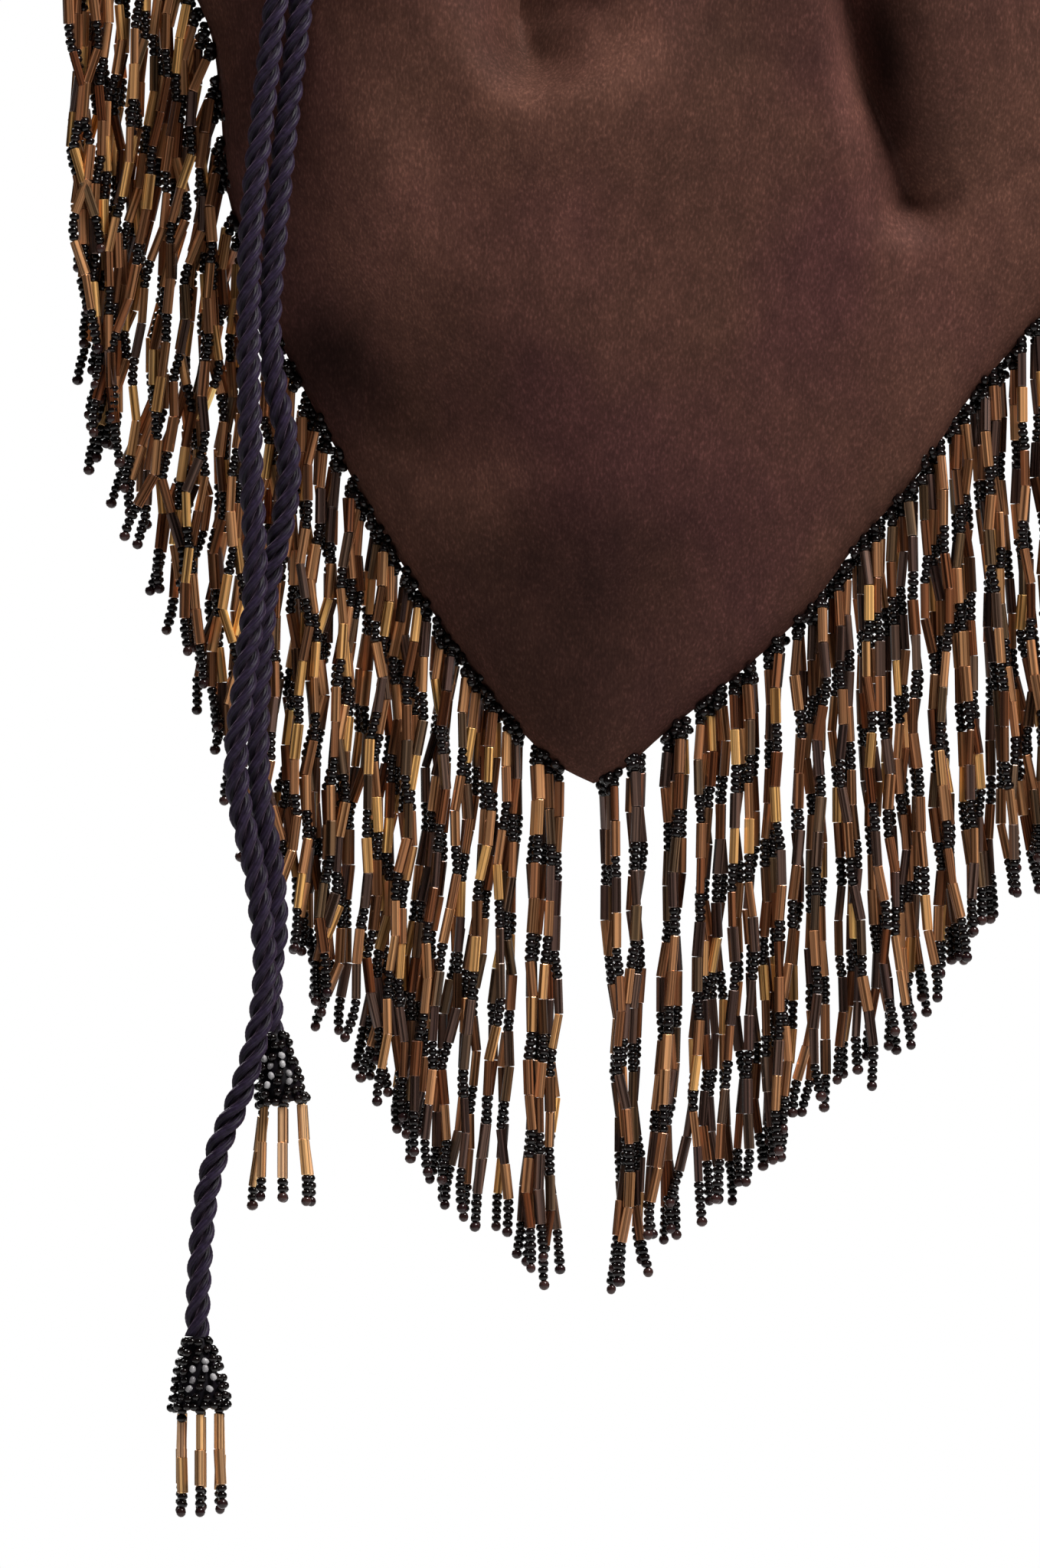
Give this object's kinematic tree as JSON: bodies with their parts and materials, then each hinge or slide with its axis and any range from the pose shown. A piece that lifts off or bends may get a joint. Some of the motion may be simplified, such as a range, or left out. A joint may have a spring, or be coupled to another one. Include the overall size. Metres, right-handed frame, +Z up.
{
  "type": "beaded drawstring bag",
  "caption": "Dark brown velvet drawstring bag with a pointed hem, a long bead fringe and cord ends with beaded tassels, hung from its drawn neck.",
  "frame": {"origin": "middle of the drawn neck, on the line of the drawstring", "axes": "+Z up along the bag from its point to its neck, +X to the right seen from the front, -Y towards the front"},
  "size_m": [0.2254, 0.0682, 0.4504],
  "materials": {
    "velvet": "short pile velvet",
    "lining": "plain satin",
    "cord": "twisted satin cord",
    "black_beads": "glossy",
    "bronze_beads": "metallic lustre"
  },
  "bodies": {
    "root": {"back_panel": "velvet", "casing_tape_back": "velvet", "casing_tape_front": "velvet", "fringe_01": "bronze_beads", "fringe_02": "bronze_beads", "fringe_03": "bronze_beads", "fringe_04": "bronze_beads", "fringe_05": "bronze_beads", "fringe_06": "bronze_beads", "fringe_07": "bronze_beads", "fringe_08": "bronze_beads", "fringe_09": "bronze_beads", "fringe_10": "bronze_beads", "fringe_11": "bronze_beads", "fringe_12": "bronze_beads", "fringe_13": "bronze_beads", "fringe_14": "bronze_beads", "fringe_15": "bronze_beads", "fringe_16": "bronze_beads", "fringe_17": "bronze_beads", "fringe_18": "bronze_beads", "fringe_19": "bronze_beads", "fringe_20": "bronze_beads", "fringe_21": "bronze_beads", "fringe_22": "bronze_beads", "fringe_23": "bronze_beads", "fringe_24": "bronze_beads", "fringe_25": "bronze_beads", "fringe_26": "bronze_beads", "fringe_27": "bronze_beads", "fringe_28": "bronze_beads", "fringe_29": "bronze_beads", "fringe_30": "bronze_beads", "fringe_31": "bronze_beads", "fringe_32": "bronze_beads", "fringe_33": "bronze_beads", "fringe_34": "bronze_beads", "front_panel": "velvet", "lining_back": "lining", "lining_front": "lining", "long_cord": "cord", "lower_tassel_cap": "black_beads", "lower_tassel_strand_1": "bronze_beads", "lower_tassel_strand_2": "bronze_beads", "lower_tassel_strand_3": "bronze_beads", "lower_tassel_strand_4": "bronze_beads", "lower_tassel_strand_5": "bronze_beads", "lower_tassel_strand_6": "bronze_beads", "neck_drawstring": "cord", "short_cord": "cord", "upper_tassel_cap": "black_beads", "upper_tassel_strand_1": "bronze_beads", "upper_tassel_strand_2": "bronze_beads", "upper_tassel_strand_3": "bronze_beads", "upper_tassel_strand_4": "bronze_beads", "upper_tassel_strand_5": "bronze_beads", "upper_tassel_strand_6": "bronze_beads"}
  },
  "joints": []
}
